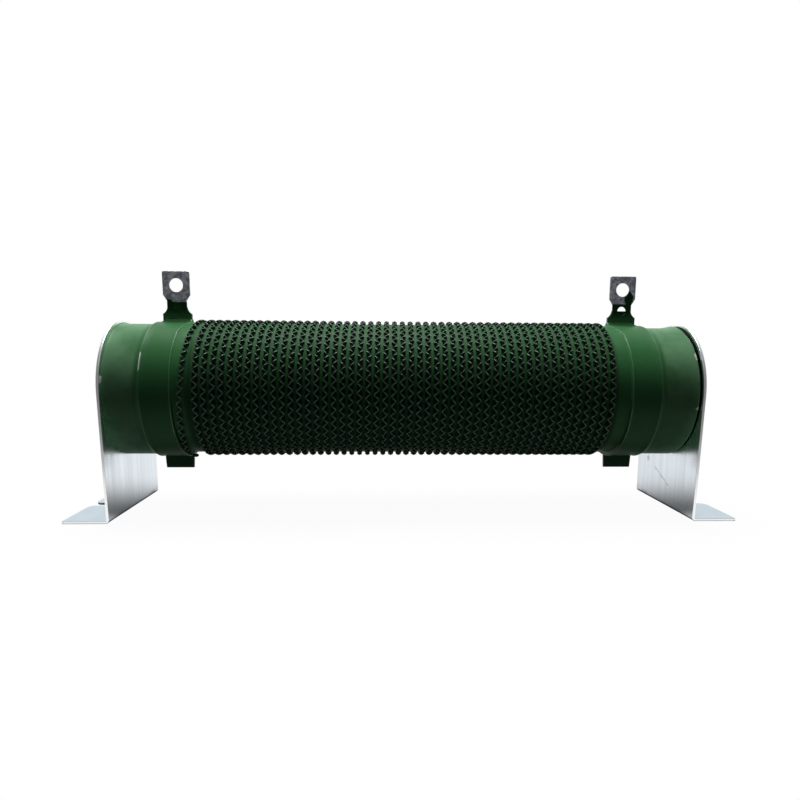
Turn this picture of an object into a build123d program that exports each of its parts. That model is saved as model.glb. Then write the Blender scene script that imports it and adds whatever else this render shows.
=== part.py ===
from build123d import *
import os
from math import cos, pi, sin

# Strip-wound power resistor. A crimped resistance strip is wound on edge round a ceramic tube, under a
# green coating, with a clamped terminal band at each end. A threaded rod through the tube holds it
# between two footed sheet-steel brackets.
# +X runs along the tube, -Y is the front, +Z is up. The origin is on the ground, under the tube's middle.
# All sizes are millimetres.

# Ceramic tube
tube_length = 266.0
tube_radius = 30.0
tube_bore_radius = 20.0
tube_end_chamfer = 0.3
axis_height = 59.0

# Coating on the tube and over the two bands. Over the bands and the tube's ends it ran down before it set.
coat_thickness = 1.0  # between the bands, under the winding
coat_sag = 0.8  # how far the outside of the sagging coating lies below the tube's axis
coat_end_cover = 0.4  # coating on top of the tube's ends
band_cover = 0.5  # coating on top of a band
coat_end_rounding = 0.3
band_inner_step = 0.5  # length of the steep step on the side that faces the winding
band_outer_ramp = 2.8  # length of the long slope towards the tube's end

# Terminal bands: one strip each, its two ends turned up at the top as a lug, pinched tight underneath
winding_shift = -1.1  # the bands and the winding sit this far off the tube's middle
band_to_tube_end = 17.0
band_width = 13.4
band_thickness = 0.8
band_bend_radius = 0.6
lug_inset = 2.1  # the lugs stand this much nearer the winding than the middles of their bands
lug_straight = 4.4  # from the band's metal up to the flare
lug_tab_width = 12.7
lug_tab_height = 10.9
lug_tab_rounding = 0.8
lug_neck_width = 9.2
lug_shoulder_height = 2.7
lug_neck_height = 3.2
lug_flare_height = 2.9
lug_flare_bulge = 0.5  # how far the flare's curve hollows in from a straight slope
screw_hole_radius = 3.2
screw_hole_drop = 6.4  # from the lug's top to the hole's middle
small_hole_radius = 2.1
small_hole_lift = 0.3  # from the neck's foot to the hole's middle, where the short ply ends
ear_height = 8.5  # pinched fold below the band's metal
ear_spread = 0.3  # each side, how far the pinched metal stands out past the band's edges
ear_taper = 0.4  # each side, from the band to the fold
ear_rounding = 0.75

# Resistance strip. The real strip has about 45.6 crimps a turn. Fewer, longer crimps keep the facets few,
# and the turns, the height, the rim and the swing of the crimps are the real ones.
turns = 51
winding_band_distance = 5.95  # from the end of the even turns to the band, before the strip runs out to it
crimps_per_turn = 18.59
crimp_swing = 1.8  # side to side, from one crest of the zigzag to the next
strip_rise = 1.65  # how far the strip stands out of the coating
strip_rim = 0.7  # width of the outer rim, with its skin of coating
lead_in_turns = 1.0
lead_out_turns = 0.75
strip_tail_turns = 0.08  # the crimps flatten out over this much of a turn at each end
strip_end_gap = 0.1  # between the strip's ends and the covered edge of a band

# Brackets
sheet = 1.2
bracket_head_margin = 2.6  # how far the round head stands out past the ceramic
bracket_leg_taper = 1.4  # each side, from the tube's axis down to the foot
bracket_foot_length = 21.0  # from the face against the tube to the foot's free edge
bracket_bend_radius = 0.4
foot_corner_rounding = 1.0
foot_slot_width = 5.5
foot_slot_depth = 14.0
foot_slot_mouth_rounding = 3.4
rod_hole_radius = 4.5

# Centring washers between the tube's ends and the brackets
centring_flange = 0.4
centring_flange_inset = 3.0  # from the rim of the tube
centring_spigot = 5.0
centring_clearance = 0.3

# Rod and fasteners, 8 mm thread drawn plain
rod_radius = 3.95
rod_proud = 1.6  # past each nut
flat_washer_radius = 12.0
flat_washer_thickness = 2.0
flat_washer_bore_radius = 4.2
lock_washer_radius = 7.4
lock_washer_thickness = 2.0
lock_washer_bore_radius = 4.1
lock_washer_slit = 1.2
lock_washer_slit_angle = 35.0
nut_across_flats = 13.0
nut_height = 6.5
nut_bore_radius = 4.0
nut_corner_angle = 30.0
nut_turn = 30.0  # a corner points up

# Sizes that follow from those above
coat_radius = tube_radius + coat_thickness
band_radius = tube_radius + band_thickness
coat_end = tube_length / 2 - tube_end_chamfer
coat_end_radius = tube_radius + coat_sag + coat_end_cover
covered_radius = band_radius + coat_sag + band_cover
band_outer_edge = tube_length / 2 - band_to_tube_end
band_inner_edge = band_outer_edge - band_width
turn_pitch = 2 * (band_inner_edge - winding_band_distance) / turns
lug_flare_foot = band_radius + lug_straight
lug_neck_foot = lug_flare_foot + lug_flare_height
lug_neck_top = lug_neck_foot + lug_neck_height
lug_tab_foot = lug_neck_top + lug_shoulder_height
lug_top = lug_tab_foot + lug_tab_height
small_hole_height = lug_neck_foot + small_hole_lift
bracket_head_radius = tube_radius + bracket_head_margin
bracket_foot_width = 2 * (bracket_head_radius - bracket_leg_taper)
centring_flange_radius = tube_radius - centring_flange_inset
bracket_face = tube_length / 2 + centring_flange
bracket_back = bracket_face + sheet
lock_washer_start = bracket_back + flat_washer_thickness
nut_start = lock_washer_start + lock_washer_thickness
nut_end = nut_start + nut_height
rod_length = 2 * (nut_end + rod_proud)
tube_axis = Pos(0, 0, axis_height)
along_x = Rot(0, 90, 0)
near = 0.01  # places closer than this count as the same
sides = {"left": -1, "right": 1}


# Stands a piece that was drawn for the right-hand end at either end of the tube
def at_end(piece, side):
    if side > 0:
        return piece
    return mirror(piece, about=Plane.YZ)


# Disc or ring round the tube's axis, from one place along X to another
def ring(start, end, outer_radius, inner_radius=0.0):
    place = tube_axis * Pos((start + end) / 2, 0, 0) * along_x
    body = Cylinder(outer_radius, end - start)
    if inner_radius > 0:
        body -= Cylinder(inner_radius, end - start)
    return place * body


def ceramic_tube():
    tube = ring(-tube_length / 2, tube_length / 2, tube_radius, tube_bore_radius)
    end_rims = tube.edges().filter_by(GeomType.CIRCLE)
    return chamfer(end_rims, tube_end_chamfer)


# Half section of the sagging coating at one end, in X and radius: up the steep step, over the band, down
# the slope and on to the tube's end. It swings round an axis a little below the tube's.
def coat_skirt(side):
    shift = side * winding_shift
    step_foot = shift + band_inner_edge - band_inner_step
    inside = tube_radius - 2 * coat_sag
    section = Polyline(
        (step_foot, inside),
        (step_foot, coat_end_radius),
        (shift + band_inner_edge, covered_radius),
        (shift + band_outer_edge, covered_radius),
        (shift + band_outer_edge + band_outer_ramp, coat_end_radius),
        (coat_end - coat_end_rounding, coat_end_radius),
        (coat_end, coat_end_radius - coat_end_rounding),
        (coat_end, inside),
        close=True,
    )
    skirt = revolve(Plane.XZ * make_face(section), Axis.X)
    return at_end(tube_axis * Pos(0, 0, -coat_sag) * skirt, side)


# Even coating under the winding, and a skirt over each band. The tube and the bands are cut out of it.
def green_coating(bands):
    coat = ring(winding_shift - band_inner_edge, winding_shift + band_inner_edge, coat_radius)
    for side in sides.values():
        coat += coat_skirt(side)
    coat -= ring(-tube_length / 2, tube_length / 2, tube_radius)
    for band in bands:
        coat -= band
    return coat


# The lug's outline from the band up, as a width and a height above the axis. The long ply has the tab,
# the short one ends on its way through the neck.
def lug_outline(top):
    root = tube_radius + band_thickness / 2
    base, neck, tab = band_width / 2, lug_neck_width / 2, lug_tab_width / 2
    middle_of_flare = ((base + neck) / 2 - lug_flare_bulge, (lug_flare_foot + lug_neck_foot) / 2)
    line = Polyline((0, root), (base, root), (base, lug_flare_foot))
    line += ThreePointArc((base, lug_flare_foot), middle_of_flare, (neck, lug_neck_foot))
    if top > lug_neck_top:
        line += Polyline((neck, lug_neck_foot), (neck, lug_neck_top), (tab, lug_tab_foot))
        line += Polyline((tab, lug_tab_foot), (tab, top), (0, top))
    else:
        line += Polyline((neck, lug_neck_foot), (neck, top), (0, top))
    half = make_face(line + Line((0, top), (0, root)))
    return half + mirror(half, about=Plane.YZ)


def terminal_band(side):
    middle = winding_shift + side * (band_inner_edge + band_width / 2)
    ring_body = along_x * (Cylinder(band_radius, band_width) - Cylinder(tube_radius, band_width))
    long_ply = lug_outline(lug_top)
    tab_corners = long_ply.vertices().filter_by_position(Axis.Y, lug_top - near, lug_top + near)
    long_ply = fillet(tab_corners.filter_by(lambda vertex: abs(vertex.X) > near), lug_tab_rounding)
    long_ply -= Pos(0, lug_top - screw_hole_drop) * Circle(screw_hole_radius)
    long_ply -= Pos(0, small_hole_height) * Circle(small_hole_radius)
    lug_place = Pos(-side * lug_inset, 0, 0)
    front_ply = lug_place * extrude(Plane.XZ * long_ply, band_thickness)
    back_ply = lug_place * extrude(Plane.XZ * lug_outline(small_hole_height), -band_thickness)
    root = tube_radius + band_thickness / 2
    fold_foot = band_radius + ear_height
    half_fold = band_width / 2 + ear_spread
    fold = Polyline(
        (-half_fold, -root),
        (half_fold, -root),
        (half_fold - ear_taper, -fold_foot),
        (-half_fold + ear_taper, -fold_foot),
        close=True,
    )
    ear = extrude(Plane.XZ * make_face(fold), band_thickness, both=True)
    ear = fillet(ear.edges().filter_by(Axis.X).group_by(Axis.Z)[0], ear_rounding)
    body = ring_body + front_ply + back_ply + ear
    bends = body.edges().filter_by(Axis.X).filter_by(
        lambda edge: abs(abs(edge.center().Y) - band_thickness) < near and abs(edge.center().Z) < band_radius
    )
    bends = bends.filter_by(lambda edge: abs(edge.center().X) < band_width / 2)
    body = fillet(bends, band_bend_radius)
    return tube_axis * Pos(middle, 0, 0) * body


# Where the strip is after so many turns, as a place along X. The turns run wide where they meet a band.
def strip_place(turn):
    reach = band_inner_edge - band_inner_step - strip_end_gap - strip_rim / 2
    lead = reach - turns * turn_pitch / 2
    place = winding_shift + (turn - turns / 2) * turn_pitch
    place -= lead * max(0.0, 1 - turn / lead_in_turns) ** 3
    place += lead * max(0.0, 1 - (turns - turn) / lead_out_turns) ** 3
    return place


# Three-sided section of the strip at one crest: the rim outside, and two flanks that meet at the foot.
# The foot's straight runs touch the coating at their middles.
def strip_section(index, count):
    turn = turns * index / count
    angle = 2 * pi * turn
    outward = Vector(0, -sin(angle), -cos(angle))
    swing = crimp_swing / 2 if index % 2 else -crimp_swing / 2
    swing *= min(1.0, turn / strip_tail_turns, (turns - turn) / strip_tail_turns)
    crest = Vector(strip_place(turn) + swing, 0, axis_height)
    foot_radius = coat_radius / cos(pi * turns / count)
    rim = crest + outward * (coat_radius + strip_rise)
    half_rim = Vector(strip_rim / 2, 0, 0)
    return Wire.make_polygon([rim - half_rim, rim + half_rim, crest + outward * foot_radius])


# The strip starts at the bottom of the left band, rises at the front and ends at the bottom of the right
# band. It folds to and fro along X at each crest.
def resistance_strip():
    count = round(2 * crimps_per_turn * turns)
    return Solid.make_loft([strip_section(index, count) for index in range(count + 1)], ruled=True)


# Sheet bent into an L, trimmed to the outline seen along the tube, and slotted from the foot's free edge.
# The sides of the leg run on into the round head at the tube's axis.
def bracket(side):
    top = axis_height + bracket_head_radius
    foot_end = bracket_foot_length
    bend = Polyline(
        (0, 0), (foot_end, 0), (foot_end, sheet), (sheet, sheet), (sheet, top), (0, top), close=True
    )
    bend = make_face(bend)
    corners = bend.vertices()
    bend = fillet(corners.sort_by_distance((sheet, sheet))[0], bracket_bend_radius)
    bend = fillet(bend.vertices().sort_by_distance((0, 0))[0], bracket_bend_radius + sheet)
    bent_sheet = extrude(Plane.XZ * bend, bracket_head_radius, both=True)
    outline = make_face(Polyline(
        (-bracket_foot_width / 2, 0),
        (bracket_foot_width / 2, 0),
        (bracket_head_radius, axis_height),
        (-bracket_head_radius, axis_height),
        close=True,
    ))
    outline += Pos(0, axis_height) * Circle(bracket_head_radius)
    outline -= Pos(0, axis_height) * Circle(rod_hole_radius)
    body = bent_sheet & extrude(Plane.YZ * outline, foot_end)
    slot_end = foot_end - foot_slot_depth + foot_slot_width / 2
    slot = Pos((slot_end + foot_end) / 2, 0, sheet / 2) * Box(foot_end - slot_end, foot_slot_width, sheet)
    slot += Pos(slot_end, 0, sheet / 2) * Cylinder(foot_slot_width / 2, sheet)
    body -= slot
    for places, radius in (((1, 2), foot_slot_mouth_rounding), ((0, -1), foot_corner_rounding)):
        uprights = body.edges().filter_by(
            lambda edge: edge.center().X > foot_end - near and abs(edge.center().Z - sheet / 2) < near
        )
        uprights = uprights.sort_by(Axis.Y)
        body = fillet([uprights[place] for place in places], radius)
    return at_end(Pos(bracket_face, 0, 0) * body, side)


def centring_washer(side):
    tube_end = tube_length / 2
    spigot_radius = tube_bore_radius - centring_clearance
    flange = ring(tube_end, bracket_face, centring_flange_radius, rod_hole_radius)
    spigot = ring(tube_end - centring_spigot, tube_end, spigot_radius, rod_hole_radius)
    return at_end(flange + spigot, side)


def flat_washer(side):
    washer = ring(bracket_back, lock_washer_start, flat_washer_radius, flat_washer_bore_radius)
    return at_end(washer, side)


# Ring with a slanting slit, closed up flat under the nut
def lock_washer(side):
    washer = ring(lock_washer_start, nut_start, lock_washer_radius, lock_washer_bore_radius)
    middle = (lock_washer_start + nut_start) / 2
    slit_height = lock_washer_radius
    slit_place = Pos(middle, 0, axis_height + (slit_height + lock_washer_bore_radius) / 2)
    slit = Box(4 * lock_washer_thickness, lock_washer_slit, slit_height)
    slit = slit_place * Rot(0, 0, lock_washer_slit_angle) * slit
    return at_end(washer - slit, side)


# Hexagon whose corners are turned off at both faces
def hex_nut(side):
    section = RegularPolygon(nut_across_flats / 2, 6, major_radius=False, rotation=nut_turn)
    section -= Circle(nut_bore_radius)
    place = Plane.YZ.offset(nut_start) * Pos(0, axis_height)
    body = extrude(place * section, nut_height)
    flat = nut_across_flats / 2
    corner = flat / cos(pi / 6)
    fall = (corner - flat) * sin(nut_corner_angle * pi / 180) / cos(nut_corner_angle * pi / 180)
    turned = Polyline(
        (0, 0), (0, flat), (fall, corner), (nut_height - fall, corner), (nut_height, flat), (nut_height, 0),
        close=True,
    )
    turned = revolve(Plane.XZ * make_face(turned), Axis.X)
    return at_end(body & (tube_axis * Pos(nut_start, 0, 0) * turned), side)


def tie_rod():
    rod = ring(-rod_length / 2, rod_length / 2, rod_radius)
    return chamfer(rod.edges().filter_by(GeomType.CIRCLE), rod_proud / 2)


def build():
    nodes = {"ceramic_tube": ceramic_tube(), "resistance_strip": resistance_strip(), "tie_rod": tie_rod()}
    for name, side in sides.items():
        nodes["terminal_band_" + name] = terminal_band(side)
        nodes["bracket_" + name] = bracket(side)
        nodes["centring_washer_" + name] = centring_washer(side)
        nodes["flat_washer_" + name] = flat_washer(side)
        nodes["lock_washer_" + name] = lock_washer(side)
        nodes["hex_nut_" + name] = hex_nut(side)
    nodes["green_coating"] = green_coating([nodes["terminal_band_left"], nodes["terminal_band_right"]])
    return nodes


os.makedirs("parts", exist_ok=True)
for name, piece in build().items():
    export_step(piece, "parts/" + name + ".step")
    box = piece.bounding_box()
    print(name, round(piece.volume), "mm3", [round(v, 2) for v in (*box.min, *box.max)])
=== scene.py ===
import bpy
import bmesh
from math import atan2, cos, pi, radians, sin
from mathutils import Matrix, Vector, noise


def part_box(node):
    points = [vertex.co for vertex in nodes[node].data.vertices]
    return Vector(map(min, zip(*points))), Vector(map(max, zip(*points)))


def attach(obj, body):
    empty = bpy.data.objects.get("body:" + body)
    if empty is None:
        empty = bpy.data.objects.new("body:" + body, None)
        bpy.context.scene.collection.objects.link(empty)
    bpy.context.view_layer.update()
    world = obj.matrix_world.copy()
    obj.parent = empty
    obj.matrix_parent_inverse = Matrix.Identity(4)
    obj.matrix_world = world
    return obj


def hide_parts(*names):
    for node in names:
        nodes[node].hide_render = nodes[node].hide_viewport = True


# Strip-wound power resistor: an edge-wound, crimped strip on a green-coated ceramic tube, with lug bands
# and zinc-plated brackets. +X runs along the tube, -Y is the front, +Z is up.

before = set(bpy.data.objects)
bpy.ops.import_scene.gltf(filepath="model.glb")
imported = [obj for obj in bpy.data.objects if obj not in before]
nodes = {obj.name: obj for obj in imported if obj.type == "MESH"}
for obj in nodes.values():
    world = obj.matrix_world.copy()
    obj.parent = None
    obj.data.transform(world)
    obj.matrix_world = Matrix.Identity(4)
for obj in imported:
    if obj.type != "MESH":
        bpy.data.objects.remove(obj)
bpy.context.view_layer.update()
mm = 0.001
bpy.context.scene.view_settings.view_transform = "Standard"
print("frame loaded:", len(nodes), "nodes")

# Places read from the frame, and the few sizes that no box gives
bandWidth = 13.4 * mm
bandMetal = 0.8 * mm
earSpread = 0.3 * mm  # the pinched fold is this much wider than its band, each side
lugInset = 2.1 * mm  # the lug stands this much nearer the winding than its band's middle
coatThickness = 1.0 * mm
tubeLow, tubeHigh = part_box("ceramic_tube")
coatLow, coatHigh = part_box("green_coating")
stripLow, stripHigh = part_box("resistance_strip")
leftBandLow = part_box("terminal_band_left")[0]
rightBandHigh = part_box("terminal_band_right")[1]
axisZ = (tubeLow.z + tubeHigh.z) / 2
tubeRadius = tubeHigh.z - axisZ
coveredRadius = (coatHigh.z - coatLow.z) / 2
coatSag = axisZ - (coatHigh.z + coatLow.z) / 2  # the coat hangs this far below the tube's axis
coatRadius = tubeRadius + coatThickness
stripRadius = (stripHigh.y - stripLow.y) / 2
bandRadius = tubeRadius + bandMetal
leftInner = leftBandLow.x + earSpread + bandWidth
rightInner = rightBandHigh.x - earSpread - bandWidth
windingMiddle = (leftInner + rightInner) / 2
leftLug = leftInner - bandWidth / 2 + lugInset
rightLug = rightInner + bandWidth / 2 - lugInset


def linear(hexColour):
    channels = [int(hexColour[i:i + 2], 16) / 255 for i in (1, 3, 5)]
    return tuple(c / 12.92 if c <= 0.04045 else ((c + 0.055) / 1.055) ** 2.4 for c in channels) + (1.0,)


# One node, with its settings, and links or values for its inputs
def addNode(tree, kind, inputs=None, **settings):
    node = tree.nodes.new(kind)
    for key, value in settings.items():
        setattr(node, key, value)
    for key, value in (inputs or {}).items():
        if isinstance(value, bpy.types.NodeSocket):
            tree.links.new(value, node.inputs[key])
        else:
            node.inputs[key].default_value = value
    return node


def calculate(tree, operation, first, second=0.0):
    return addNode(tree, "ShaderNodeMath", {0: first, 1: second}, operation=operation).outputs[0]


# Runs softly from one value to another while the input goes from start to end
def fade(tree, value, start, end, low=0.0, high=1.0):
    return addNode(tree, "ShaderNodeMapRange", {
        "Value": value, "From Min": start, "From Max": end, "To Min": low, "To Max": high},
        interpolation_type="SMOOTHSTEP").outputs[0]


def blendColours(tree, factor, first, second):
    return addNode(tree, "ShaderNodeMix", {0: factor, 6: first, 7: second}, data_type="RGBA").outputs[2]


def newMaterial(name):
    material = bpy.data.materials.new(name)
    material.use_nodes = True
    material.node_tree.nodes.clear()
    return material, material.node_tree


def finishMaterial(material, tree, surface):
    addNode(tree, "ShaderNodeOutputMaterial", {"Surface": surface})
    return material


def setMaterial(thing, material):
    thing.data.materials.clear()
    thing.data.materials.append(material)


def newPiece(name, bm, material, replaced=()):
    mesh = bpy.data.meshes.new(name)
    bm.to_mesh(mesh)
    bm.free()
    piece = bpy.data.objects.new(name, mesh)
    bpy.context.scene.collection.objects.link(piece)
    mesh.materials.append(material)
    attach(piece, "root")
    if replaced:
        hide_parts(*replaced)
    return piece


# Merged copy of a node's mesh, to be changed and to stand in the node's place
def copyNode(name):
    bm = bmesh.new()
    bm.from_mesh(nodes[name].data)
    bmesh.ops.remove_doubles(bm, verts=bm.verts, dist=0.001 * mm)
    bmesh.ops.dissolve_limit(bm, angle_limit=radians(1), verts=bm.verts, edges=bm.edges)
    return bm


# Rounds the sharp edges a little, as on real sheet, and shades the small faces smoothly
sharpFrom = radians(30)
smallFace = 3 * mm * mm


def softenEdges(bm, width, chosen=None):
    sharp = [edge for edge in bm.edges if edge.is_manifold and edge.calc_face_angle() > sharpFrom
             and (chosen is None or chosen(edge))]
    bmesh.ops.bevel(bm, geom=sharp, offset=width, affect="EDGES", segments=2, profile=0.5,
                    clamp_overlap=True, material=-1)
    for face in bm.faces:
        face.smooth = face.calc_area() < smallFace


# Camera, fitted to the photo's view: its place, its turns and its lens
cameraSet = {
    "place": (-12.87 * mm, -302.12 * mm, 79.5 * mm),
    "yaw": radians(2.42),
    "pitch": radians(-8.80),
    "roll": radians(0.40),
    "lens": 27.57,
    "shift": (-0.0047, 0.0519),
}


def makeCamera():
    data = bpy.data.cameras.new("camera")
    data.lens = cameraSet["lens"]
    data.sensor_width = 36
    data.shift_x, data.shift_y = cameraSet["shift"]
    data.clip_start = 0.01
    data.clip_end = 20
    camera = bpy.data.objects.new("camera", data)
    turn = Matrix.Rotation(-cameraSet["yaw"], 4, "Z")
    turn = turn @ Matrix.Rotation(pi / 2 + cameraSet["pitch"], 4, "X")
    turn = turn @ Matrix.Rotation(cameraSet["roll"], 4, "Z")
    camera.matrix_world = Matrix.Translation(cameraSet["place"]) @ turn
    bpy.context.scene.collection.objects.link(camera)
    bpy.context.scene.camera = camera


makeCamera()

# Floor, lamps and world. Gloss sees a room of its own, so that the metal and the enamel show light and dark.
studio = {
    "floorSize": 6.0,
    "paperColour": "#ffffff",
    "paperBounce": "#303030",  # what the paper throws back at the object
    "paperGlow": 0.96,  # share of plain white in the paper the camera sees
    "paperWhite": (0.16, 0.42),  # between these rings the paper fades into the white background
    "paperSqueeze": (0.62, 1.0, 1.0),  # the rings are longer along the object than across it
    "topLampPower": 10.0,
    "topLampSize": (0.5, 0.5),
    "topLampPlace": (-0.05, 0.16, 0.95),
    "frontLampPower": 0.25,
    "frontLampSize": (0.12, 0.05),
    "frontLampPlace": (0.06, -0.62, 0.72),
    "worldColour": "#ffffff",
    "worldDiffuse": 0.02,
    "roomFront": 0.2,  # gloss sees a dim room in front of the table and white behind it
    "roomBehind": 1.0,
    "roomTurn": (-0.6, 0.5),
    "shadowFloor": 0.12,  # gloss sees the paper under the tube in shadow
    "litFloor": 0.88,
    "litFrom": (-0.17, -0.09),  # across the object, in metres: here the lit paper begins in front
    "shadeFront": (-0.033, -0.012),
    "shadeBehind": (-0.01, 0.075),
    "footShade": 0.12,  # share of its brightness that the paper keeps under the feet
    "footInside": (0.129, 0.134),
    "footOutside": (0.157, 0.154),
    "footSides": (0.033, 0.031),
}


def makeLamp(name, place, aim, size, power):
    data = bpy.data.lights.new(name, "AREA")
    data.shape = "RECTANGLE"
    data.size, data.size_y = size
    data.energy = power
    lamp = bpy.data.objects.new(name, data)
    lamp.location = place
    lamp.rotation_euler = (Vector(place) - Vector(aim)).to_track_quat("Z", "Y").to_euler()
    bpy.context.scene.collection.objects.link(lamp)


def glossySight(tree, path):
    return calculate(tree, "MAXIMUM", path.outputs["Is Glossy Ray"], path.outputs["Is Transmission Ray"])


def makeWorld():
    world = bpy.data.worlds.new("studio")
    bpy.context.scene.world = world
    world.use_nodes = True
    tree = world.node_tree
    tree.nodes.clear()
    path = addNode(tree, "ShaderNodeLightPath")
    direction = addNode(tree, "ShaderNodeTexCoord").outputs["Generated"]
    backwards = addNode(tree, "ShaderNodeSeparateXYZ", {0: direction}).outputs["Y"]
    colour = linear(studio["worldColour"])
    white = addNode(tree, "ShaderNodeBackground", {"Color": colour, "Strength": 1.0})
    room = addNode(tree, "ShaderNodeBackground", {
        "Color": colour,
        "Strength": fade(tree, backwards, *studio["roomTurn"], studio["roomFront"], studio["roomBehind"])})
    dim = addNode(tree, "ShaderNodeBackground", {"Color": colour, "Strength": studio["worldDiffuse"]})
    shade = addNode(tree, "ShaderNodeMixShader", {0: glossySight(tree, path), 1: dim.outputs[0],
                                                  2: room.outputs[0]})
    both = addNode(tree, "ShaderNodeMixShader", {0: path.outputs["Is Camera Ray"], 1: shade.outputs[0],
                                                 2: white.outputs[0]})
    addNode(tree, "ShaderNodeOutputWorld", {"Surface": both.outputs[0]})


# Brightness of the paper for gloss: lit in front of the object and behind it, shaded under tube and feet
def mirroredPaper(tree, along, across):
    s = studio
    lit = calculate(tree, "SUBTRACT", 1.0, fade(tree, across, *s["shadeFront"]))
    lit = calculate(tree, "MULTIPLY", lit, fade(tree, across, *s["litFrom"]))
    lit = calculate(tree, "ADD", lit, fade(tree, across, *s["shadeBehind"]))
    far = fade(tree, across, *s["litFrom"], s["roomFront"], s["shadowFloor"])
    whole = calculate(tree, "ADD", far, calculate(tree, "MULTIPLY", lit, s["litFloor"]))
    outwards = calculate(tree, "ABSOLUTE", along)
    underFoot = calculate(tree, "MULTIPLY", fade(tree, outwards, *s["footInside"]),
                          fade(tree, outwards, *s["footOutside"]))
    underFoot = calculate(tree, "MULTIPLY", underFoot,
                          fade(tree, calculate(tree, "ABSOLUTE", across), *s["footSides"]))
    return calculate(tree, "MULTIPLY", whole, fade(tree, underFoot, 0.0, 1.0, 1.0, s["footShade"]))


# Matt white paper that keeps the object's shadow and fades into the white background further out
def makePaperMaterial():
    material, tree = newMaterial("whitePaper")
    path = addNode(tree, "ShaderNodeLightPath")
    place = addNode(tree, "ShaderNodeTexCoord").outputs["Object"]
    squeezed = addNode(tree, "ShaderNodeMapping", {"Vector": place, "Scale": studio["paperSqueeze"]})
    away = addNode(tree, "ShaderNodeVectorMath", {0: squeezed.outputs[0]}, operation="LENGTH")
    faded = fade(tree, away.outputs["Value"], *studio["paperWhite"], studio["paperGlow"], 1.0)
    parts = addNode(tree, "ShaderNodeSeparateXYZ", {0: place}).outputs
    lit = addNode(tree, "ShaderNodeBsdfDiffuse", {"Color": linear(studio["paperColour"])})
    glow = addNode(tree, "ShaderNodeEmission", {"Color": linear("#ffffff"), "Strength": 1.0})
    seen = addNode(tree, "ShaderNodeMixShader", {0: faded, 1: lit.outputs[0], 2: glow.outputs[0]})
    mirrored = addNode(tree, "ShaderNodeEmission", {
        "Color": linear("#ffffff"), "Strength": mirroredPaper(tree, parts["X"], parts["Y"])})
    bounce = addNode(tree, "ShaderNodeBsdfDiffuse", {"Color": linear(studio["paperBounce"])})
    other = addNode(tree, "ShaderNodeMixShader", {0: glossySight(tree, path), 1: bounce.outputs[0],
                                                  2: mirrored.outputs[0]})
    both = addNode(tree, "ShaderNodeMixShader", {0: path.outputs["Is Camera Ray"], 1: other.outputs[0],
                                                 2: seen.outputs[0]})
    return finishMaterial(material, tree, both.outputs[0])


def makeFloor():
    bm = bmesh.new()
    bmesh.ops.create_grid(bm, x_segments=1, y_segments=1, size=studio["floorSize"] / 2)
    mesh = bpy.data.meshes.new("floor")
    bm.to_mesh(mesh)
    bm.free()
    thing = bpy.data.objects.new("floor", mesh)
    bpy.context.scene.collection.objects.link(thing)
    setMaterial(thing, makePaperMaterial())


makeWorld()
makeFloor()
makeLamp("topLamp", studio["topLampPlace"], (0, 0, axisZ), studio["topLampSize"], studio["topLampPower"])
makeLamp("frontLamp", studio["frontLampPlace"], (0, 0, axisZ), studio["frontLampSize"],
         studio["frontLampPower"])
print("studio made")

# Winding: a strip of resistance alloy on edge, crimped to and fro and wound as a helix
winding = {
    "turns": 51,
    "pitch": 3.786 * mm,
    "start": -96.68 * mm,  # centre of the strip's first end, from the middle between the bands
    "crimpsPerTurn": 45.59,
    "swing": 1.78 * mm,
    "thickness": 0.42 * mm,
    "foot": 0.4 * mm,  # how far the enamel spreads at the strip's foot
    "footHeight": 0.32 * mm,  # and how high it climbs there
    "sunk": 0.1 * mm,  # how deep the foot's edges lie in the coat
    "crestDrop": 0.45 * mm,  # the rim dips where the strip is folded
    "leadIn": 6.1 * mm,
    "leadInTurns": 1.0,
    "leadOut": 6.1 * mm,
    "leadOutTurns": 0.75,
    "foldHalf": 0.11,  # half of a fold's flat crest, in half crimps
    "foldLean": radians(20),
    "flankLean": radians(44),  # half way between two folds
}


def windingPlace(turn):
    w = winding
    x = windingMiddle + w["start"] + w["pitch"] * turn
    x -= w["leadIn"] * max(0.0, 1 - turn / w["leadInTurns"]) ** 3
    x += w["leadOut"] * max(0.0, 1 - (w["turns"] - turn) / w["leadOutTurns"]) ** 3
    return x


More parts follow.
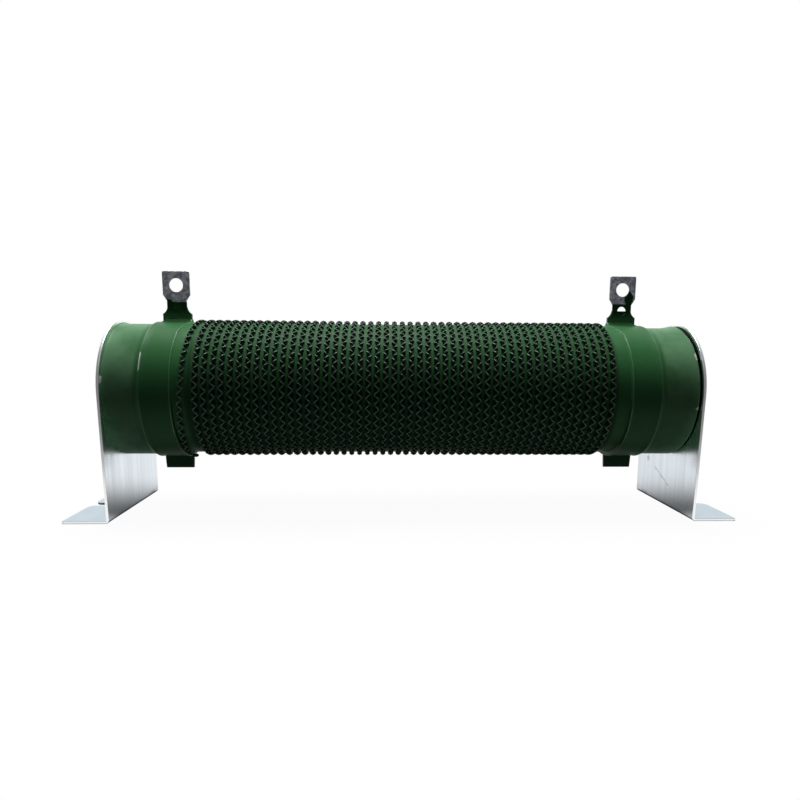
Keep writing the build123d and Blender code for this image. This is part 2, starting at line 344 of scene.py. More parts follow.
def makeWinding():
    w = winding
    half = w["thickness"] / 2
    section = [
        (-half - w["foot"], coatRadius - w["sunk"]),
        (-half, coatRadius + w["footHeight"]),
        (-half, stripRadius),
        (half, stripRadius),
        (half, coatRadius + w["footHeight"]),
        (half + w["foot"], coatRadius - w["sunk"]),
    ]
    halfCrimps = int(2 * w["crimpsPerTurn"] * w["turns"])
    stations = 3 * halfCrimps
    bm = bmesh.new()
    bmesh.ops.create_grid(bm, x_segments=stations - 1, y_segments=len(section), size=1.0)
    rims = []
    for vertex in bm.verts:
        station = round((vertex.co.x + 1) / 2 * (stations - 1))
        corner = round((vertex.co.y + 1) / 2 * len(section)) % len(section)
        crimp, part = divmod(station, 3)
        sign = 1 if crimp % 2 else -1
        # Before the crest, after it, and half way down to the next one
        along, swing, lean = (
            (-w["foldHalf"], 1.0, -w["foldLean"]),
            (w["foldHalf"], 1.0, w["foldLean"]),
            (0.5, 0.0, w["flankLean"]))[part]
        lean *= sign
        turn = (crimp + 0.5 + along) / (2 * w["crimpsPerTurn"])
        side, radius = section[corner]
        if radius == stripRadius:
            radius -= w["crestDrop"] * swing
            rims.append(vertex)
        angle = 2 * pi * turn
        outward = Vector((0, -sin(angle), -cos(angle)))
        ahead = Vector((0, -cos(angle), sin(angle)))
        across = Vector((1, 0, 0)) * cos(lean) + ahead * sin(lean)
        narrowing = cos(lean) if swing else 1.0  # at a crest the strip's thickness is kept along X
        middle = Vector((windingPlace(turn) + sign * swing * w["swing"] / 2, 0, axisZ))
        vertex.co = middle + outward * radius + across * (side / narrowing)
    rims = set(rims)
    # The worn rim, paler also as a painted highlight, is the piece's second material
    for face in bm.faces:
        face.material_index = 1 if all(vertex in rims for vertex in face.verts) else 0
    bmesh.ops.remove_doubles(bm, verts=bm.verts, dist=0.001 * mm)
    ends = [edge for edge in bm.edges if edge.is_boundary]
    bmesh.ops.holes_fill(bm, edges=ends, sides=0)
    bmesh.ops.recalc_face_normals(bm, faces=bm.faces)
    print("winding:", len(bm.verts), "points,", len(bm.faces), "faces")
    piece = newPiece("woundStrip", bm, stripEnamel, ["resistance_strip"])
    piece.data.materials.append(wornRimAndHighlight)


# Silicone enamel, brushed on and baked: a dark green, half-matt film. Pattern scales are counts per metre.
enamelSet = {
    "dark": "#336c3d",
    "light": "#427b4a",
    "dusty": "#68976f",
    "between": "#3a6340",  # painted shade among the turns: greyer and a little darker, and the film is duller there
    # painted shade in the strip's folds and close beside them
    "foldShade": "#0f2816",
    "lip": "#559060",  # paler line along the raised edges: a painted highlight
    "roughness": 0.42,
    "gloss": 0.09,
    "lipRoughness": 0.3,
    "lipGloss": 0.35,
    "betweenGloss": 0.35,  # share of its gloss that the film keeps between the turns
    "grainScale": 1500.0,  # brush grain of 0.7 mm, coarser than real so that it still shows
    "mottleScale": 90.0,  # patches of 11 mm
    "dustScale": 60.0,  # patches of 17 mm
    "dustCover": (0.2, 0.65),
    "dustFrom": (117.0 * mm, 119.5 * mm),  # from the middle of the winding
    "windingEnd": (97.5 * mm, 95.5 * mm),
    "foldShadeEdge": (1.5 * mm, 1.0 * mm),  # from the middle line of a turn
    "foldShadeNarrowing": 0.8 * mm,  # each side, at the top of the tube
    "foldShadeNarrowFrom": axisZ + 0.35 * tubeRadius,
    "foldShadeStart": (0.35, 0.8),  # turns over which the painted shade sets in and, before the last one, ends
    "foldShadeStop": (0.3, 0.7),
    "raggedScale": 900.0,  # chips have teeth of about 1 mm
}
# Where the baked film has chipped off the tube's rim and shows the ceramic: place and half sizes, in mm
rimChips = [
    ((132.2, -26.0, 76.7), (0.8, 1.7, 2.8)),
    ((132.2, -30.9, 52.5), (0.9, 1.2, 1.1)),
    ((-133.3, -31.0, 64.6), (0.75, 1.2, 1.8)),
]
# Painted highlight on the left band's outer ridge, drawn as a patch of bright metal in the film
ridgeHighlight = {"middle": (-117.2, -28.3, 72.1), "halves": (1.5, 3.6, 5.2), "unevenness": 0.3,
             "colour": "#f2f4f4", "roughness": 0.5}


def enamelSkin(tree, place, colour, roughness=enamelSet["roughness"], gloss=enamelSet["gloss"]):
    grain = addNode(tree, "ShaderNodeTexNoise", {"Vector": place, "Scale": enamelSet["grainScale"],
                                                 "Detail": 3.0})
    bump = addNode(tree, "ShaderNodeBump", {"Height": grain.outputs["Fac"], "Strength": 0.15,
                                            "Distance": 0.2 * mm})
    return addNode(tree, "ShaderNodeBsdfPrincipled", {
        "Base Color": colour, "Roughness": roughness, "Normal": bump.outputs[0],
        "Specular IOR Level": gloss}).outputs[0]


def mottledGreen(tree, place):
    mottle = addNode(tree, "ShaderNodeTexNoise", {"Vector": place, "Scale": enamelSet["mottleScale"],
                                                  "Detail": 4.0})
    return blendColours(tree, mottle.outputs["Fac"], linear(enamelSet["dark"]), linear(enamelSet["light"]))


# Fired cordierite ceramic: pale, dry and matt, with a grain drawn 1.4 mm coarse so that it shows
ceramicSet = {"dark": "#e2dfd6", "light": "#fbfaf6", "roughness": 0.8, "grainScale": 700.0}


def ceramicSkin(tree, place):
    c = ceramicSet
    grain = addNode(tree, "ShaderNodeTexNoise", {"Vector": place, "Scale": c["grainScale"], "Detail": 3.0})
    colour = blendColours(tree, grain.outputs["Fac"], linear(c["dark"]), linear(c["light"]))
    return addNode(tree, "ShaderNodeBsdfPrincipled", {"Base Color": colour,
                                                      "Roughness": c["roughness"]}).outputs[0]


# Tinned steel, dull and finely scratched. Its spangle of 1.4 mm is drawn coarser than real, to show.
tinSet = {
    "dark": "#8b8d99",
    "light": "#d0d4dc",
    "roughness": 0.42,
    "spangleScale": 700.0,
    "spangleContrast": (0.35, 0.68),
    "scratchScale": (2500.0, 2500.0, 300.0),  # 0.4 mm apart and 3 mm long, upright
}


def tinSkin(tree, place):
    t = tinSet
    grain = addNode(tree, "ShaderNodeTexNoise", {"Vector": place, "Scale": t["spangleScale"],
                                                 "Detail": 6.0})
    contrast = fade(tree, grain.outputs["Fac"], *t["spangleContrast"])
    colour = blendColours(tree, contrast, linear(t["dark"]), linear(t["light"]))
    drawnOut = addNode(tree, "ShaderNodeMapping", {"Vector": place, "Scale": t["scratchScale"]})
    fine = addNode(tree, "ShaderNodeTexNoise", {"Vector": drawnOut.outputs[0], "Scale": 1.0, "Detail": 2.0})
    bump = addNode(tree, "ShaderNodeBump", {"Height": fine.outputs["Fac"], "Strength": 0.3,
                                            "Distance": 0.2 * mm})
    return addNode(tree, "ShaderNodeBsdfPrincipled", {
        "Base Color": colour, "Metallic": 1.0, "Roughness": t["roughness"],
        "Normal": bump.outputs[0]}).outputs[0]


# Where the painted shade goes: 1 in the strip's folds and close beside them, 0 in the channels between the
# turns
def amongFolds(tree, place):
    e = enamelSet
    parts = addNode(tree, "ShaderNodeSeparateXYZ", {0: place}).outputs
    turned = calculate(tree, "ARCTAN2", calculate(tree, "MULTIPLY", parts["Y"], -1.0),
                       calculate(tree, "SUBTRACT", axisZ, parts["Z"]))
    first = windingMiddle + winding["start"]
    turns = calculate(tree, "DIVIDE", calculate(tree, "SUBTRACT", parts["X"], first), winding["pitch"])
    past = calculate(tree, "SUBTRACT", turns, calculate(tree, "DIVIDE", turned, 2 * pi))
    share = calculate(tree, "SUBTRACT", calculate(tree, "FRACT", calculate(tree, "ADD", past, 0.5)), 0.5)
    fromTurn = calculate(tree, "MULTIPLY", calculate(tree, "ABSOLUTE", share), winding["pitch"])
    wholeTurns = calculate(tree, "MULTIPLY", fade(tree, turns, *e["foldShadeStart"]),
                           fade(tree, turns, *(winding["turns"] - stop for stop in e["foldShadeStop"])))
    # The painted shade is narrower on top of the tube
    narrowing = fade(tree, parts["Z"], e["foldShadeNarrowFrom"], tubeHigh.z, 0.0, e["foldShadeNarrowing"])
    fromTurn = calculate(tree, "ADD", fromTurn, narrowing)
    return calculate(tree, "MULTIPLY", wholeTurns, fade(tree, fromTurn, *e["foldShadeEdge"]))


# 1 inside an ellipsoid with a ragged edge, 0 outside. Its place and half sizes are in mm.
def patch(tree, place, ragged, middle, halves, unevenness=1.6):
    offset = addNode(tree, "ShaderNodeVectorMath", {0: place, 1: [v * mm for v in middle]},
                     operation="SUBTRACT")
    scaled = addNode(tree, "ShaderNodeVectorMath", {0: offset.outputs[0], 1: [v * mm for v in halves]},
                     operation="DIVIDE")
    reach = addNode(tree, "ShaderNodeVectorMath", {0: scaled.outputs[0]}, operation="LENGTH")
    uneven = calculate(tree, "ADD", reach.outputs["Value"],
                       calculate(tree, "MULTIPLY", ragged.outputs["Fac"], unevenness))
    edge = 1.0 + unevenness / 2
    return fade(tree, uneven, edge + 0.05, edge - 0.1)


# Silicone enamel on the coat: painted shade in and beside the strip's folds, greyer and a little darker
# among the turns as painted shade and duller there, a painted highlight along the lips and the left ridge,
# dusty towards the ends, chipped at the rims
def makeCoatMaterial():
    e = enamelSet
    material, tree = newMaterial("siliconeEnamel")
    place = addNode(tree, "ShaderNodeTexCoord").outputs["Object"]
    along = addNode(tree, "ShaderNodeSeparateXYZ", {0: place}).outputs["X"]
    fromMiddle = calculate(tree, "ABSOLUTE", calculate(tree, "SUBTRACT", along, windingMiddle))
    dust = addNode(tree, "ShaderNodeTexNoise", {"Vector": place, "Scale": e["dustScale"], "Detail": 5.0})
    dusty = calculate(tree, "MULTIPLY", fade(tree, dust.outputs["Fac"], *e["dustCover"]),
                      fade(tree, fromMiddle, *e["dustFrom"]))
    colour = blendColours(tree, dusty, mottledGreen(tree, place), linear(e["dusty"]))
    between = fade(tree, fromMiddle, *e["windingEnd"])
    # Painted shade among the turns: greyer and a little darker
    colour = blendColours(tree, between, colour, linear(e["between"]))
    # Painted shade in and beside the strip's folds
    colour = blendColours(tree, amongFolds(tree, place), colour, linear(e["foldShade"]))
    lip = addNode(tree, "ShaderNodeAttribute", attribute_name="lip").outputs["Fac"]
    # Painted highlight: the lips turn paler along a thin line
    colour = blendColours(tree, lip, colour, linear(e["lip"]))
    gloss = fade(tree, lip, 0.0, 1.0, e["gloss"], e["lipGloss"])
    gloss = calculate(tree, "MULTIPLY", gloss, fade(tree, between, 0.0, 1.0, 1.0, e["betweenGloss"]))
    roughness = fade(tree, lip, 0.0, 1.0, e["roughness"], e["lipRoughness"])
    skin = enamelSkin(tree, place, colour, roughness, gloss)
    ragged = addNode(tree, "ShaderNodeTexNoise", {"Vector": place, "Scale": e["raggedScale"],
                                                  "Detail": 2.0})
    # Painted highlight: a patch of bright metal on the left band's outer ridge
    ridgeHighlightPatch = patch(tree, place, ragged, ridgeHighlight["middle"], ridgeHighlight["halves"], ridgeHighlight["unevenness"])
    ridgeHighlightMetal = addNode(tree, "ShaderNodeBsdfPrincipled", {
        "Base Color": linear(ridgeHighlight["colour"]), "Metallic": 1.0, "Roughness": ridgeHighlight["roughness"]})
    skin = addNode(tree, "ShaderNodeMixShader", {0: calculate(tree, "MULTIPLY", lip, ridgeHighlightPatch), 1: skin,
                                                 2: ridgeHighlightMetal.outputs[0]}).outputs[0]
    chipped = 0.0
    for middle, halves in rimChips:
        chipped = calculate(tree, "MAXIMUM", chipped, patch(tree, place, ragged, middle, halves))
    both = addNode(tree, "ShaderNodeMixShader", {0: chipped, 1: skin, 2: ceramicSkin(tree, place)})
    return finishMaterial(material, tree, both.outputs[0])


# Skin of the strip, either its enamel or its worn rim with its painted highlight, mottled in patches of 2.5
# mm
def makeStripMaterial(name, dark, light, gloss, metallic=0.0, roughness=enamelSet["roughness"]):
    material, tree = newMaterial(name)
    place = addNode(tree, "ShaderNodeTexCoord").outputs["Object"]
    mottle = addNode(tree, "ShaderNodeTexNoise", {"Vector": place, "Scale": 400.0, "Detail": 3.0})
    colour = blendColours(tree, mottle.outputs["Fac"], linear(dark), linear(light))
    skin = addNode(tree, "ShaderNodeBsdfPrincipled", {
        "Base Color": colour, "Roughness": roughness, "Specular IOR Level": gloss, "Metallic": metallic})
    return finishMaterial(material, tree, skin.outputs[0])


def makeCeramicMaterial():
    material, tree = newMaterial("firedCeramic")
    place = addNode(tree, "ShaderNodeTexCoord").outputs["Object"]
    return finishMaterial(material, tree, ceramicSkin(tree, place))


# Enamel brushed over the foot of a tinned lug, up to a ragged line, with a smear above it
lugPaint = {
    "colour": "#1b4526",
    "paintedLightFoot": "#568a5f",  # paler towards the band: painted light on the lug's foot
    "footFrom": (97.0 * mm, 91.5 * mm),
    "aboveAxis": (axisZ, axisZ + 10.0 * mm),  # the fold below has no such foot
    "raggedScale": 260.0,  # waves of 4 mm along the line
    "lineWobble": 1.2 * mm,
    "lineEdge": (0.7 * mm, 0.5 * mm),
    "smearEdge": (1.55, 1.4),  # in half sizes of the smear, with the noise added
}


def makeTerminalMaterial(side, paintLine, smear, smearSize):
    p = lugPaint
    material, tree = newMaterial("tinnedSteel" + side)
    place = addNode(tree, "ShaderNodeTexCoord").outputs["Object"]
    ragged = addNode(tree, "ShaderNodeTexNoise", {"Vector": place, "Scale": p["raggedScale"],
                                                  "Detail": 3.0})
    height = addNode(tree, "ShaderNodeSeparateXYZ", {0: place}).outputs["Z"]
    wobble = calculate(tree, "MULTIPLY", ragged.outputs["Fac"], p["lineWobble"])
    uneven = calculate(tree, "ADD", height, wobble)
    below = fade(tree, uneven, *(paintLine + edge for edge in p["lineEdge"]))
    offset = addNode(tree, "ShaderNodeVectorMath", {0: place, 1: smear}, operation="SUBTRACT").outputs[0]
    scaled = addNode(tree, "ShaderNodeVectorMath", {0: offset, 1: smearSize}, operation="DIVIDE").outputs[0]
    reach = addNode(tree, "ShaderNodeVectorMath", {0: scaled}, operation="LENGTH").outputs["Value"]
    smeared = fade(tree, calculate(tree, "ADD", reach, ragged.outputs["Fac"]), *p["smearEdge"])
    painted = calculate(tree, "MAXIMUM", below, smeared)
    # Painted light: the enamel turns paler down the lug's foot, towards the band
    foot = calculate(tree, "MULTIPLY", fade(tree, height, *p["footFrom"]),
                     fade(tree, height, *p["aboveAxis"]))
    skin = enamelSkin(tree, place, blendColours(tree, foot, linear(p["colour"]), linear(p["paintedLightFoot"])))
    both = addNode(tree, "ShaderNodeMixShader", {0: painted, 1: tinSkin(tree, place), 2: skin})
    return finishMaterial(material, tree, both.outputs[0])


# Bright zinc plating on rolled sheet: pale, bluish and half-glossy, with streaks along the leg, a painted
# reflection on the feet's tops, a painted highlight on front edges and head tops, and painted shade behind
# the tube's right end. Places and half sizes of its marks are in mm.
zincSet = {
    "dark": "#dbe2e8",
    "light": "#e8eff4",
    # painted reflection on the feet's tops: darker and bluish
    "footReflectionDark": "#aac6cd",
    "footReflectionLight": "#cfd6e2",
    "cut": "#ffffff",  # painted highlight on the sheet's front-facing faces and on the tops of the heads
    "mark": "#7d868d",
    "endShade": "#23292b",
    "roughness": 0.32,
    "streakGloss": 0.05,
    "streakScale": (260.0, 260.0, 9.0),  # streaks 4 mm wide and 110 mm long, left by the rolling
    "streakContrast": (0.3, 0.7),
    "cloudScale": 120.0,  # clouds of 8 mm in the painted reflection on the feet
    "raggedScale": 700.0,
    "legFrom": (1.5 * mm, 5.0 * mm),
    "headFrom": (80.0 * mm, 86.0 * mm),
    "markStrength": 0.5,
    "scratchStart": (133.4, 10.2, 17.5),
    "scratchEnd": (133.4, -5.4, 11.4),
    "spots": [
        ((133.4, 18.6, 20.8), (1.5, 1.6, 1.6)),
        # these two darken the outside of each bend near its back corner
        ((134.2, 20.5, 1.4), (2.0, 4.5, 1.3)),
        ((-134.2, 22.8, 1.6), (2.0, 4.5, 1.3)),
    ],
    "endShadeRadius": (31.4 * mm, 31.1 * mm),  # painted shade on the inner face behind the tube's right end
    "endShadeSide": (0.0, 10.0 * mm),  # from here along X, so on the right bracket alone
}


# 1 along a straight, ragged scratch, 0 beside it
def scratch(tree, place, ragged, start, end):
    start = Vector(start) * mm
    whole = Vector(end) * mm - start
    offset = addNode(tree, "ShaderNodeVectorMath", {0: place, 1: start}, operation="SUBTRACT").outputs[0]
    share = addNode(tree, "ShaderNodeVectorMath", {0: offset, 1: whole / whole.length_squared},
                    operation="DOT_PRODUCT").outputs["Value"]
    share = calculate(tree, "MAXIMUM", calculate(tree, "MINIMUM", share, 1.0), 0.0)
    nearest = addNode(tree, "ShaderNodeVectorMath", {0: whole, 3: share}, operation="SCALE").outputs[0]
    gap = addNode(tree, "ShaderNodeVectorMath", {0: offset, 1: nearest}, operation="DISTANCE")
    # The noise adds some 1.5 mm, so the scratch reaches about 0.4 mm to each side
    uneven = calculate(tree, "ADD", gap.outputs["Value"],
                       calculate(tree, "MULTIPLY", ragged.outputs["Fac"], 3.0 * mm))
    return fade(tree, uneven, 2.3 * mm, 1.5 * mm)


def makeZincMaterial():
    z = zincSet
    material, tree = newMaterial("zincPlating")
    place = addNode(tree, "ShaderNodeTexCoord").outputs["Object"]
    drawnOut = addNode(tree, "ShaderNodeMapping", {"Vector": place, "Scale": z["streakScale"]})
    streak = addNode(tree, "ShaderNodeTexNoise", {"Vector": drawnOut.outputs[0], "Scale": 1.0,
                                                  "Detail": 4.0})
    parts = addNode(tree, "ShaderNodeSeparateXYZ", {0: place}).outputs
    normal = addNode(tree, "ShaderNodeNewGeometry").outputs["Normal"]
    facing = addNode(tree, "ShaderNodeSeparateXYZ", {0: normal}).outputs
    onLeg = fade(tree, parts["Z"], *z["legFrom"])
    contrast = calculate(tree, "MULTIPLY", fade(tree, streak.outputs["Fac"], *z["streakContrast"]), onLeg)
    colour = blendColours(tree, contrast, linear(z["dark"]), linear(z["light"]))
    # Painted reflection: the upward faces of the feet take a darker, bluish, clouded colour
    cloud = addNode(tree, "ShaderNodeTexNoise", {"Vector": place, "Scale": z["cloudScale"], "Detail": 4.0})
    paintedLightFoot = blendColours(tree, cloud.outputs["Fac"], linear(z["footReflectionDark"]), linear(z["footReflectionLight"]))
    footTop = calculate(tree, "MULTIPLY", fade(tree, facing["Z"], 0.6, 0.95),
                        calculate(tree, "SUBTRACT", 1.0, onLeg))
    colour = blendColours(tree, footTop, colour, paintedLightFoot)
    ragged = addNode(tree, "ShaderNodeTexNoise", {"Vector": place, "Scale": z["raggedScale"],
                                                  "Detail": 3.0})
    marked = scratch(tree, place, ragged, z["scratchStart"], z["scratchEnd"])
    for middle, halves in z["spots"]:
        marked = calculate(tree, "MAXIMUM", marked, patch(tree, place, ragged, middle, halves))
    marked = calculate(tree, "MULTIPLY", marked, z["markStrength"])
    colour = blendColours(tree, marked, colour, linear(z["mark"]))
    # Painted highlight: white on faces turned to the front and on the heads' tops
    cut = calculate(tree, "MAXIMUM", fade(tree, facing["Y"], -0.5, -0.9),
                    fade(tree, parts["Z"], *z["headFrom"]))
    colour = blendColours(tree, cut, colour, linear(z["cut"]))
    # Distance from the tube's axis, by way of the part of the place that lies across X
    across = addNode(tree, "ShaderNodeVectorMath", {0: place, 1: (1, 0, 0)}, operation="CROSS_PRODUCT")
    fromAxis = addNode(tree, "ShaderNodeVectorMath", {0: across.outputs[0], 1: (0, axisZ, 0)},
                       operation="DISTANCE").outputs["Value"]
    # Painted shade on the right bracket's inner face around the tube's end
    endShaded = calculate(tree, "MULTIPLY", fade(tree, facing["X"], -0.7, -0.95),
                        fade(tree, fromAxis, *z["endShadeRadius"]))
    endShaded = calculate(tree, "MULTIPLY", endShaded, fade(tree, parts["X"], *z["endShadeSide"]))
    colour = blendColours(tree, endShaded, colour, linear(z["endShade"]))
    rough = calculate(tree, "SUBTRACT", z["roughness"],
                      calculate(tree, "MULTIPLY", contrast, z["streakGloss"]))
    skin = addNode(tree, "ShaderNodeBsdfPrincipled", {"Base Color": colour, "Metallic": 1.0,
                                                      "Roughness": rough})
    return finishMaterial(material, tree, skin.outputs[0])


enamel = makeCoatMaterial()
# Enamel on the strip's flanks, about as green as on the tube
stripEnamel = makeStripMaterial("stripEnamel", "#1f4d29", "#2f6639", gloss=0.1)
# Enamel worn off the strip's rim, so that the alloy's dull grey shows; its paler colour is also a painted
# highlight
wornRimAndHighlight = makeStripMaterial("wornRimAndHighlight", "#3b4a40", "#54665a", gloss=0.3, metallic=0.5, roughness=0.58)
ceramic = makeCeramicMaterial()
zinc = makeZincMaterial()
for name, thing in nodes.items():
    if name == "ceramic_tube" or name.startswith("centring"):
        setMaterial(thing, ceramic)
    elif name == "green_coating" or name == "resistance_strip":
        setMaterial(thing, enamel)
    else:
        setMaterial(thing, zinc)
print("materials made")

# Coat: one skin brushed over the tube and both bands, with a raised lip along each band's edges. It ran
# down before it set, so over the bands and the ends it hangs a little below the tube's axis.
coat = {
    "leftGap": -0.33 * mm,  # at the left the film runs past the tube's end, up to the bracket
    "rightGap": 0.02 * mm,
    "leftRim": (-0.65 * mm, -0.35 * mm, -0.1 * mm),  # flared at the left, rounded off at the right
    "rightRim": (1.1 * mm, 0.6 * mm, 0.2 * mm),
    "rimSteps": (0.25 * mm, 0.7 * mm, 1.4 * mm),
    "overlap": 0.4 * mm,  # the film's inside lies within the tube, so that no gap shows
    "endRadius": tubeRadius + coatSag + 0.4 * mm,
    "ridge": 13.0 * mm,  # from a band's inner edge to the top of the slope
    "ramp": 2.8 * mm,
    "lipHeight": 0.2 * mm,
    "lipWidth": 0.45 * mm,
    "lipHighlightLine": 0.18 * mm,  # half width of the painted highlight line on a lip
    "lipWander": 0.12 * mm,
    "waviness": 0.05 * mm,
    "wavePitch": 11.0 * mm,
    "bead": 1.0 * mm,  # thickening at the right rim, on top
    "beadLength": 6.0 * mm,
    "beadTilt": 0.35,  # its middle lies behind the top
    "lugReach": (10, 34),  # degrees each side of the top over which the inner edge swings out to the lug
    "lugFoot": 1.6 * mm,  # the film climbs this high up the lug's plies
    "lugFootReach": 2.0 * mm,
    "longestStep": 3.0 * mm,
    "steps": 240,
}


# Points of the coat's outside from an end of the tube to the winding, each with its distance from that end
# and its radius
def coatSide(gap, rimDrops, inner):
    c = coat
    ridge = inner - c["ridge"]
    end = c["endRadius"]
    lip = coveredRadius + c["lipHeight"]
    wide = c["lipWidth"]
    return [
        (gap, tubeRadius - coatSag - c["overlap"]),
        (gap, end - rimDrops[0]),
        (gap + c["rimSteps"][0], end - rimDrops[1]),
        (gap + c["rimSteps"][1], end - rimDrops[2]),
        (gap + c["rimSteps"][2], end),
        (ridge - c["ramp"], end),
        (ridge - 0.75 * c["ramp"], end + 0.1 * mm),
        (ridge - 0.3 * c["ramp"], coveredRadius - 0.3 * mm),
        (ridge - wide, lip - 0.14 * mm),
        (ridge - wide / 2, lip),
        (ridge, lip - 0.03 * mm),
        (ridge + wide, coveredRadius),
        (inner - 2 * wide, coveredRadius),
        (inner - wide, coveredRadius + 0.03 * mm),
        (inner - 0.2 * wide, lip - 0.03 * mm),
        (inner + 0.2 * wide, lip),
        (inner + 0.5 * wide, lip - 0.12 * mm),
        (inner + 0.8 * wide, coatRadius + 0.3 * mm),
        (inner + 1.2 * wide, coatRadius + 0.02 * mm),
        (inner + 2 * wide, coatRadius),
    ]


# From 0 to 1 and smooth at both ends
def smooth(value):
    value = min(1.0, max(0.0, value))
    return value * value * (3 - 2 * value)


# Moves one point of the turned coat to where the brush left it: lips that wander, an inner edge that swings
# out to the lug, film that climbs the lug, a bead at the right rim, and a coat that hangs low at both ends
def shapeCoat(vertex, lipLayer):
    c = coat
    outward = Vector((0, vertex.co.y, vertex.co.z - axisZ))
    radius = outward.length
    outward /= radius
    fromTop = abs(atan2(vertex.co.y, vertex.co.z - axisZ))
    side = 1 if vertex.co.x > windingMiddle else -1
    inner = rightInner if side > 0 else leftInner
    lug = rightLug if side > 0 else leftLug
    pastEdge = (vertex.co.x - inner) * side
    fromLip = min(abs(pastEdge), abs(pastEdge - c["ridge"] - 0.2 * mm))
    # The lip attribute marks the painted highlight line, and where the lips are glossier
    vertex[lipLayer] = smooth(1.4 - fromLip / c["lipHighlightLine"])
    sag = coatSag * smooth((pastEdge + 1.4 * c["lipWidth"]) / c["lipWidth"])  # none among the turns
    if radius > tubeRadius - 1.0 * mm:
        rise = c["waviness"] * noise.noise(vertex.co / c["wavePitch"])
        # Under the tube, no flare at the left rim
        if pastEdge > c["ridge"] + c["ramp"]:
            rise -= max(0.0, radius - c["endRadius"]) * smooth(-2 * outward.z)
        if min(abs(pastEdge), abs(pastEdge - c["ridge"])) < 1.5 * mm:
            # Each band's lips wander their own way
            vertex.co.x += c["lipWander"] * noise.noise(outward * 3.1 + Vector((side * 5, 7, 0)))
            rise += 0.5 * c["waviness"] * noise.noise(outward * 9.0)
        near, far = (radians(angle) for angle in c["lugReach"])
        if pastEdge < 1.5 * mm:
            vertex.co.x -= side * lugInset * smooth((far - fromTop) / (far - near)) * smooth(
                (pastEdge + 4 * mm) / (2 * mm))
        beside = smooth((bandWidth / 2 + 1.2 * mm - abs(vertex.co.x - lug)) / (1.5 * mm))
        if vertex.co.z > axisZ and beside > 0:
            fromPly = max(0.0, abs(vertex.co.y) - bandMetal)
            rise += c["lugFoot"] * max(0.0, 1 - fromPly / c["lugFootReach"]) ** 2 * beside
        fromRim = (tubeHigh.x - c["rightGap"] - vertex.co.x) / c["beadLength"]
        if fromRim < 1:
            onTop = max(0.0, outward.z + c["beadTilt"] * outward.y) ** 2
            rise += c["bead"] * onTop * sin(pi * smooth(fromRim) ** 0.5) * smooth(fromRim * 4)
        vertex.co += outward * rise
    vertex.co.z -= sag


def makeCoat():
    c = coat
    left = coatSide(c["leftGap"], c["leftRim"], leftInner - tubeLow.x)
    right = coatSide(c["rightGap"], c["rightRim"], tubeHigh.x - rightInner)
    outline = [(tubeLow.x + s, r) for s, r in left] + [(tubeHigh.x - s, r) for s, r in reversed(right)]
    bm = bmesh.new()
    first = last = bm.verts.new((outline[0][0], 0, axisZ + outline[0][1]))
    edges = []
    for (x0, r0), (x1, r1) in zip(outline, outline[1:]):
        pieces = max(1, round((x1 - x0) / c["longestStep"]))
        for i in range(1, pieces + 1):
            t = i / pieces
            point = bm.verts.new((x0 + (x1 - x0) * t, 0, axisZ + r0 + (r1 - r0) * t))
            edges.append(bm.edges.new((last, point)))
            last = point
    edges.append(bm.edges.new((last, first)))
    bmesh.ops.spin(bm, geom=bm.verts[:] + edges, cent=(0, 0, axisZ), axis=(1, 0, 0), dvec=(0, 0, 0),
                   angle=2 * pi, steps=c["steps"], use_merge=True, use_duplicate=False)
    bmesh.ops.recalc_face_normals(bm, faces=bm.faces)
    lipLayer = bm.verts.layers.float.new("lip")
    for vertex in bm.verts:
        shapeCoat(vertex, lipLayer)
    for face in bm.faces:
        face.smooth = True
    print("coat:", len(bm.verts), "points,", len(bm.faces), "faces")
    newPiece("brushedCoat", bm, enamel, ["green_coating"])


makeCoat()
print("coat made")

makeWinding()
print("winding made")

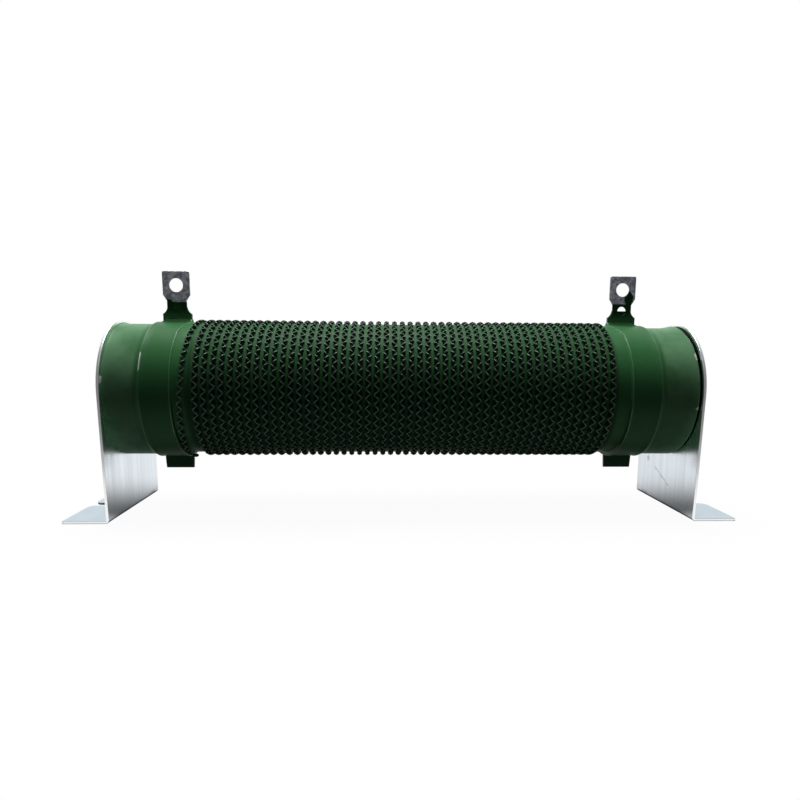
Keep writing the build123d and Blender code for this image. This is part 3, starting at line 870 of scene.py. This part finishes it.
# Terminal bands: tinned, with the coat's enamel run over the foot of each lug and over the fold below
terminals = {
    "Left": {"node": "terminal_band_left", "paintLine": 99.7 * mm,
             "smear": (leftLug - 4.0 * mm, 0.0, 99.5 * mm), "smearSize": (2.0 * mm, 9.0 * mm, 1.5 * mm)},
    "Right": {"node": "terminal_band_right", "paintLine": 100.6 * mm,
              "smear": (rightLug + 3.2 * mm, 0.0, 103.0 * mm), "smearSize": (2.4 * mm, 9.0 * mm, 3.6 * mm)},
}
terminalRounding = 0.1 * mm
outsideCoat = bandRadius + 0.8 * mm  # only edges further out than this show


def makeTerminal(side):
    t = terminals[side]
    bm = copyNode(t["node"])
    softenEdges(bm, terminalRounding,
                lambda edge: all(abs(v.co.z - axisZ) > outsideCoat for v in edge.verts))
    material = makeTerminalMaterial(side, t["paintLine"], t["smear"], t["smearSize"])
    newPiece("terminal" + side, bm, material, [t["node"]])


# Enamel that closed the left lug's small hole
holePlug = {
    "middle": (leftLug, -0.38 * mm, axisZ + 38.4 * mm),
    "radius": 2.1 * mm,
    "thickness": 0.5 * mm,
}


def makeHolePlug():
    p = holePlug
    bm = bmesh.new()
    place = Matrix.Translation(p["middle"]) @ Matrix.Rotation(pi / 2, 4, "X")
    bmesh.ops.create_cone(bm, cap_ends=True, segments=40, radius1=p["radius"], radius2=p["radius"],
                          depth=p["thickness"], matrix=place)
    newPiece("enamelPlug", bm, stripEnamel)


# Blob of enamel that set at the upper corner of the left fold
blob = {
    "middle": (leftInner + 1.2 * mm, -0.6 * mm, axisZ - 33.1 * mm),
    "radius": 1.1 * mm,
    "stretch": (1.2, 0.9, 0.8),
}


def makeBlob():
    bm = bmesh.new()
    place = Matrix.Translation(blob["middle"]) @ Matrix.Diagonal((*blob["stretch"], 1))
    bmesh.ops.create_icosphere(bm, subdivisions=3, radius=blob["radius"], matrix=place)
    for face in bm.faces:
        face.smooth = True
    newPiece("enamelBlob", bm, stripEnamel)


makeTerminal("Left")
makeTerminal("Right")
makeHolePlug()
makeBlob()
print("terminals made")


# Brackets: cut and bent zinc-plated sheet with slightly rounded edges
sheetRounding = 0.18 * mm


def makeBracket(side):
    name = "bracket_" + side.lower()
    bm = copyNode(name)
    softenEdges(bm, sheetRounding)
    newPiece("bracket" + side, bm, zinc, [name])


makeBracket("Left")
makeBracket("Right")
print("brackets made")
